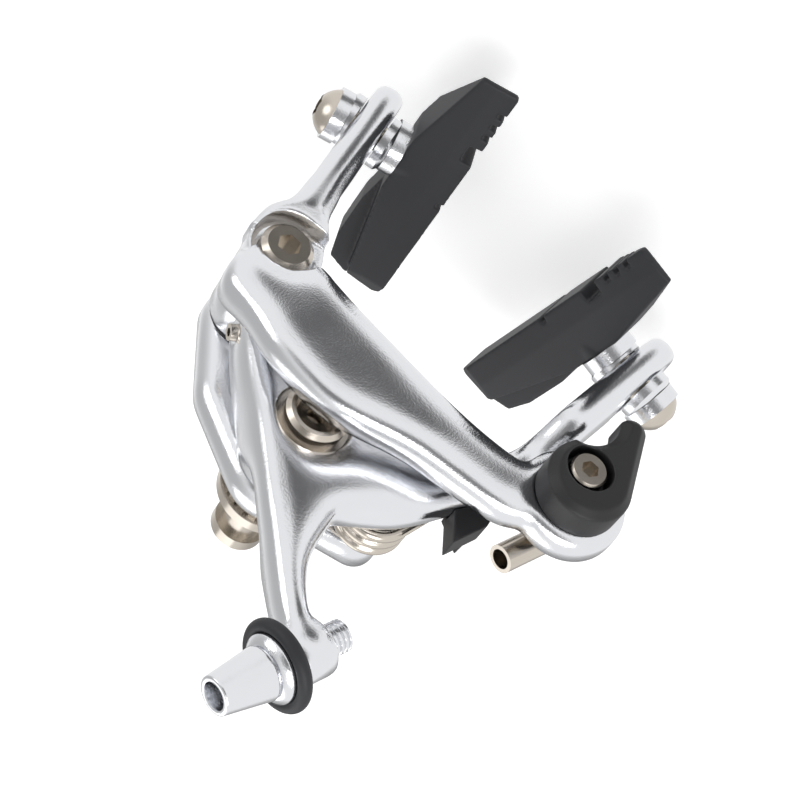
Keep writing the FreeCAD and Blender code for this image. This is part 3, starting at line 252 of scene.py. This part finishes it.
def relaxed(made, steps, hollow_pull, crest_pull, held=()):
    """Smooths a mesh: hollow creases fill into fillets, crests soften less, held places stay crisp."""
    mesh = made.data
    count = len(mesh.vertices)
    points = np.empty(count * 3)
    mesh.vertices.foreach_get("co", points)
    points = points.reshape(-1, 3)
    ends, degree = neighbours(mesh)
    fixed = np.zeros(count, dtype=bool)
    for x, z, radius in held:
        fixed |= near_axis(points / MM, x, z, radius)
    normals = np.empty(count * 3)
    for step in range(steps):
        mesh.vertices.foreach_get("normal", normals)
        drift = averaged(points, ends, degree) - points
        hollow = (drift * normals.reshape(-1, 3)).sum(axis=1) > 0
        pull = np.where(hollow, hollow_pull, crest_pull)
        if step < SETTLING_STEPS:
            pull[:] = SETTLING_PULL
        pull[fixed] = crest_pull if step < HELD_SETTLING_STEPS else 0.0
        points += drift * pull[:, None]
        mesh.vertices.foreach_set("co", points.ravel())
        mesh.update()


LEAST_LENGTH = 1e-6


def lengths(vectors):
    """Length of each vector, never quite zero."""
    return np.maximum(np.linalg.norm(vectors, axis=1, keepdims=True), LEAST_LENGTH)


def crowned(made, steps, most_lean):
    """Leans the shading of flat faces towards their edges, as hand polishing crowns them slightly."""
    mesh = made.data
    true = np.empty(len(mesh.vertices) * 3)
    mesh.vertices.foreach_get("normal", true)
    true = true.reshape(-1, 3)
    ends, degree = neighbours(mesh)
    spread = true
    for _ in range(steps):
        spread = averaged(spread, ends, degree)
    lean = spread / lengths(spread) - true
    lean *= np.minimum(1, most_lean / lengths(lean))
    mesh.normals_split_custom_set_from_vertices((true + lean).tolist())


# Forged arms and bracket: creases run into fillets as polishing leaves them
PIVOT = (25.0, -18.2)
CENTRE = (0.0, 0.0)
RELEASE = (-42.5, -19.2)
FORGING_CELL = 0.32
ARM_STEPS = 110
BRACKET_STEPS = 25
CROWN_STEPS = 180
CROWN_LEAN = 0.2
# Axes and radii, in mm, of the bosses and seats that stay crisp
CRISP_PLACES = {
    "anchor_arm": ((*PIVOT, 9.5), (*RELEASE, 7.0)),
    "adjuster_arm": ((*CENTRE, 8.4),),
    "bracket": ((*PIVOT, 4.2), (*CENTRE, 4.0)),
}
for node, steps in (("anchor_arm", ARM_STEPS), ("adjuster_arm", ARM_STEPS), ("bracket", BRACKET_STEPS)):
    forging = remeshed(node, FORGING_CELL)
    relaxed(forging, steps, hollow_pull=0.6, crest_pull=0.2, held=CRISP_PLACES[node])
    stands_for(forging, node)
    crowned(forging, CROWN_STEPS, CROWN_LEAN)

# Drawn round wire of the return spring
WIRE_CELL = 0.2
WIRE_STEPS = 8
wire = remeshed("return_spring", WIRE_CELL)
relaxed(wire, WIRE_STEPS, hollow_pull=0.4, crest_pull=0.3)
stands_for(wire, "return_spring")

# Moulded rubber and nylon pieces with softened edges
MOULDING_CELLS = {"anchor_pad": 0.25, "adjuster_pad": 0.25, "quick_release_lever": 0.22, "spring_block": 0.18}
MOULDING_STEPS = 5
for node, cell in MOULDING_CELLS.items():
    moulding = remeshed(node, cell)
    relaxed(moulding, MOULDING_STEPS, hollow_pull=0.4, crest_pull=0.5)
    stands_for(moulding, node)

# Barrel adjuster: rolled thread, bevelled flange, groove for the ring, tapered nose with an open socket
BARREL_SEAT = Vector((-27.7, -23.96, 35.7))
BARREL_LEAN = math.radians(16)
BARREL_AXIS = Vector((math.sin(BARREL_LEAN), 0, math.cos(BARREL_LEAN)))
SEAT_TO_FOOT = 9.4
BARREL_FOOT = BARREL_SEAT - BARREL_AXIS * SEAT_TO_FOOT
BARREL_SHARP = math.radians(38)
THREAD_SIZES = {"Pitch": 1.0, "Depth": 0.5, "Start": 0.2, "End": 4.55, "Root Radius": 2.7}
GROOVE_CENTRE = 0.5
GROOVE_HALF_WIDTH = 0.25
STEM_RADIUS = 2.98
THREAD_FOOT = 0.3
THREAD_LENGTH = 4.2
THREAD_ROWS = 70
SEGMENTS = 96


def turned(name, profile):
    """Closed profile of radii and heights, in mm, spun about Z."""
    points = []
    for radius, height in profile:
        for step in range(SEGMENTS):
            angle = step / SEGMENTS * math.tau
            points.append(Vector((radius * math.cos(angle), radius * math.sin(angle), height)) * MM)
    rows = len(profile)
    faces = []
    for row in range(rows):
        low = row * SEGMENTS
        high = (row + 1) % rows * SEGMENTS
        for step in range(SEGMENTS):
            following = (step + 1) % SEGMENTS
            faces.append((low + step, low + following, high + following, high + step))
    mesh = bpy.data.meshes.new(name)
    mesh.from_pydata(points, [], faces)
    return placed(name, mesh)


def rolled_thread():
    """Geometry Nodes tree that presses a helical vee groove with wide crests into a stem about Z."""
    tree = bpy.data.node_groups.new("rolled_thread", "GeometryNodeTree")
    tree.interface.new_socket("Stem", in_out="INPUT", socket_type="NodeSocketGeometry")
    tree.interface.new_socket("Stem", in_out="OUTPUT", socket_type="NodeSocketGeometry")
    for label in THREAD_SIZES:
        tree.interface.new_socket(label, in_out="INPUT", socket_type="NodeSocketFloat")
    given = add(tree, "NodeGroupInput").outputs

    # Distance from the axis, the way outwards and the share of a turn at each point
    spot = add(tree, "GeometryNodeInputPosition").outputs[0]
    flat = add(tree, "ShaderNodeVectorMath", {0: spot, 1: (1, 1, 0)}, operation="MULTIPLY").outputs[0]
    outward = add(tree, "ShaderNodeVectorMath", {0: flat}, operation="NORMALIZE").outputs[0]
    reach = add(tree, "ShaderNodeVectorMath", {0: flat}, operation="LENGTH").outputs["Value"]
    axes = add(tree, "ShaderNodeSeparateXYZ", {0: spot}).outputs
    angle = add(tree, "ShaderNodeMath", {0: axes["Y"], 1: axes["X"]}, operation="ARCTAN2").outputs[0]
    share = add(tree, "ShaderNodeMath", {0: angle, 1: math.tau}, operation="DIVIDE").outputs[0]

    # Depth of the groove: a vee across part of each pitch, level at the crests
    pitches = add(tree, "ShaderNodeMath", {0: axes["Z"], 1: given["Pitch"]}, operation="DIVIDE").outputs[0]
    wound = add(tree, "ShaderNodeMath", {0: pitches, 1: share}, operation="SUBTRACT").outputs[0]
    phase = add(tree, "ShaderNodeMath", {0: wound}, operation="FRACT").outputs[0]
    aside = add(tree, "ShaderNodeMath", {0: phase, 1: GROOVE_CENTRE}, operation="SUBTRACT").outputs[0]
    from_root = add(tree, "ShaderNodeMath", {0: aside}, operation="ABSOLUTE").outputs[0]
    rise = add(tree, "ShaderNodeMath", {0: from_root, 1: GROOVE_HALF_WIDTH}, operation="DIVIDE").outputs[0]
    depth = add(tree, "ShaderNodeMath", {0: 1.0, 1: rise}, operation="SUBTRACT", use_clamp=True).outputs[0]

    # The groove runs along the stem's outside only
    above = add(tree, "ShaderNodeMath", {0: axes["Z"], 1: given["Start"]}, operation="GREATER_THAN")
    below = add(tree, "ShaderNodeMath", {0: axes["Z"], 1: given["End"]}, operation="LESS_THAN")
    outside = add(tree, "ShaderNodeMath", {0: reach, 1: given["Root Radius"]}, operation="GREATER_THAN")
    for factor in (above.outputs[0], below.outputs[0], outside.outputs[0], given["Depth"], -1.0):
        depth = add(tree, "ShaderNodeMath", {0: depth, 1: factor}, operation="MULTIPLY").outputs[0]
    inward = add(tree, "ShaderNodeVectorMath", {0: outward, "Scale": depth}, operation="SCALE").outputs[0]

    pressed = add(tree, "GeometryNodeSetPosition", {"Geometry": given["Stem"], "Offset": inward})
    whole = add(tree, "GeometryNodeRealizeInstances", {0: pressed.outputs[0]})
    coated = add(tree, "GeometryNodeSetMaterial", {
        "Geometry": whole.outputs[0],
        "Material": MATERIALS["polished_aluminium"],
    })
    add(tree, "NodeGroupOutput", {0: coated.outputs[0]})
    return tree


# Radii and heights, in mm: up the threaded stem, over the flange and nose, and back down the bore
stem = [(STEM_RADIUS, THREAD_FOOT + THREAD_LENGTH * row / THREAD_ROWS) for row in range(THREAD_ROWS)]
nose = [
    (STEM_RADIUS, 4.6), (STEM_RADIUS, 12.66), (6.15, 12.66), (6.38, 12.75), (6.38, 13.05),
    (6.2, 13.16), (5.9, 13.16), (5.9, 15.24), (6.15, 15.24), (6.38, 15.35), (6.4, 15.8),
    (6.3, 16.05), (5.15, 17.0), (4.95, 17.08), (4.5, 17.1), (4.5, 17.42), (4.75, 17.45),
    (4.95, 17.6), (5.0, 17.8), (4.92, 18.05), (3.66, 27.2), (3.6, 27.45), (3.45, 27.58),
    (3.2, 27.62), (2.75, 27.62), (2.6, 27.55), (2.55, 27.35), (2.55, 20.65), (2.4, 20.64),
    (1.15, 20.64), (1.0, 20.5), (1.0, 0.15), (1.15, 0.0), (2.5, 0.0), (2.6, 0.1),
]
barrel = turned("barrel_threaded", stem + nose)
thread = barrel.modifiers.new("thread", "NODES")
thread.node_group = rolled_thread()
for socket in thread.node_group.interface.items_tree:
    if socket.name in THREAD_SIZES:
        thread[socket.identifier] = THREAD_SIZES[socket.name] * MM
applied(barrel, thread)
upright_to_lean = BARREL_AXIS.to_track_quat("Z", "Y").to_matrix().to_4x4()
barrel.data.transform(Matrix.Translation(BARREL_FOOT * MM) @ upright_to_lean)
stands_for(barrel, "barrel_adjuster")
barrel.data.set_sharp_from_angle(angle=BARREL_SHARP)

# Camera at the photograph's angle
RIGHT = Vector((-0.72339, -0.38049, -0.57615))
UP = Vector((0.68487, -0.50127, -0.52886))
TOWARDS = Vector((-0.08758, -0.77715, 0.62320))
DISTANCE = 500
ANCHOR = Vector((0, -30, 0))
FOCAL_PX = 2875
ANCHOR_PX = (320, 410)
IMAGE_PX = 800
SENSOR_MM = 36.0
NEAREST = 0.01
across = (ANCHOR_PX[0] - IMAGE_PX / 2) / FOCAL_PX * DISTANCE
upwards = (IMAGE_PX / 2 - ANCHOR_PX[1]) / FOCAL_PX * DISTANCE
eye = ANCHOR - RIGHT * across - UP * upwards + TOWARDS * DISTANCE
camera_data = bpy.data.cameras.new("camera")
camera_data.sensor_width = SENSOR_MM
camera_data.lens = FOCAL_PX / IMAGE_PX * SENSOR_MM
camera_data.clip_start = NEAREST
camera = placed("camera", camera_data)
turn = Matrix((RIGHT, UP, TOWARDS)).transposed()
camera.matrix_world = Matrix.Translation(eye * MM) @ turn.to_4x4()
bpy.context.scene.camera = camera

# Pale matt floor under the part: lifted to white for the camera alone, so that it keeps the shadow
FLOOR_DROP = 4
FLOOR_HALF = 3.0
FLOOR_LIFT = 0.42
floor_level = cad_box[0][2] - FLOOR_DROP * MM
corners = [(x * FLOOR_HALF, y * FLOOR_HALF, floor_level) for x, y in ((-1, -1), (1, -1), (1, 1), (-1, 1))]
floor_mesh = bpy.data.meshes.new("floor")
floor_mesh.from_pydata(corners, [], [(0, 1, 2, 3)])
floor = placed("floor", floor_mesh)
floor_paint, paint_tree = blank("pale_floor")
sight = add(paint_tree, "ShaderNodeLightPath").outputs["Is Camera Ray"]
lift = add(paint_tree, "ShaderNodeMath", {0: sight, 1: FLOOR_LIFT}, operation="MULTIPLY")
paint = add(paint_tree, "ShaderNodeBsdfPrincipled", {
    "Base Color": linear("#fafafa"),
    "Roughness": 0.95,
    "Specular IOR Level": 0.0,
    "Emission Color": WHITE,
    "Emission Strength": lift.outputs[0],
})
add(paint_tree, "ShaderNodeOutputMaterial", {"Surface": paint.outputs["BSDF"]})
floor_mesh.materials.append(floor_paint)
floor.visible_glossy = False


def lamp(name, position, size, power):
    """Soft round lamp aimed at the part."""
    light = bpy.data.lights.new(name, "AREA")
    light.shape = "DISK"
    light.size = size
    light.energy = power
    place = Vector(position)
    made = placed(name, light)
    made.matrix_world = Matrix.Translation(place) @ place.to_track_quat("Z", "Y").to_matrix().to_4x4()


lamp("key_lamp", position=(-0.6, -0.3, 0.8), size=0.7, power=4.0)
lamp("fill_lamp", position=(0.8, -0.3, 0.5), size=0.6, power=1.6)
lamp("rear_lamp", position=(0.0, 0.7, 0.6), size=0.8, power=1.6)

# White surroundings, with soft grey patches that reflections alone see, for the polished faces to show
WHITE_LEVEL = 1.0
SOFT_LEVEL = 0.5
# Each patch: the way it lies, the cosines from it where the white ends and the darkest begins, its level
GREY_PATCHES = (
    (Vector((0.19, -0.765, -0.615)), 0.915, 0.997, 0.15),
    (TOWARDS, 0.80, 1.0, 0.25),
    (Vector((0.72, 0.38, 0.58)), 0.30, 0.97, 0.55),
    (Vector((-0.2, 0.9, -0.3)), 0.75, 1.0, 0.45),
)
world = bpy.data.worlds.new("studio")
bpy.context.scene.world = world
world.use_nodes = True
sky = world.node_tree
sky.nodes.clear()
rays = add(sky, "ShaderNodeLightPath").outputs
heading = add(sky, "ShaderNodeTexCoord").outputs["Generated"]
reflected = WHITE_LEVEL
for aim, white_end, dark_start, darkest in GREY_PATCHES:
    nearness = add(sky, "ShaderNodeVectorMath", {0: heading, 1: aim.normalized()}, operation="DOT_PRODUCT")
    shade = add(sky, "ShaderNodeMapRange", {
        "Value": nearness.outputs["Value"],
        "From Min": white_end,
        "From Max": dark_start,
        "To Min": WHITE_LEVEL,
        "To Max": darkest,
    }, interpolation_type="SMOOTHSTEP")
    both = add(sky, "ShaderNodeMath", {0: reflected, 1: shade.outputs["Result"]}, operation="MULTIPLY")
    reflected = both.outputs[0]
patchy = add(sky, "ShaderNodeBackground", {"Color": WHITE, "Strength": reflected}).outputs[0]
soft = add(sky, "ShaderNodeBackground", {"Color": WHITE, "Strength": SOFT_LEVEL}).outputs[0]
plain = add(sky, "ShaderNodeBackground", {"Color": WHITE, "Strength": WHITE_LEVEL}).outputs[0]
lit = add(sky, "ShaderNodeMixShader", {0: rays["Is Glossy Ray"], 1: soft, 2: patchy}).outputs[0]
seen = add(sky, "ShaderNodeMixShader", {0: rays["Is Camera Ray"], 1: lit, 2: plain}).outputs[0]
add(sky, "ShaderNodeOutputWorld", {"Surface": seen})

bpy.context.scene.view_settings.view_transform = "Standard"
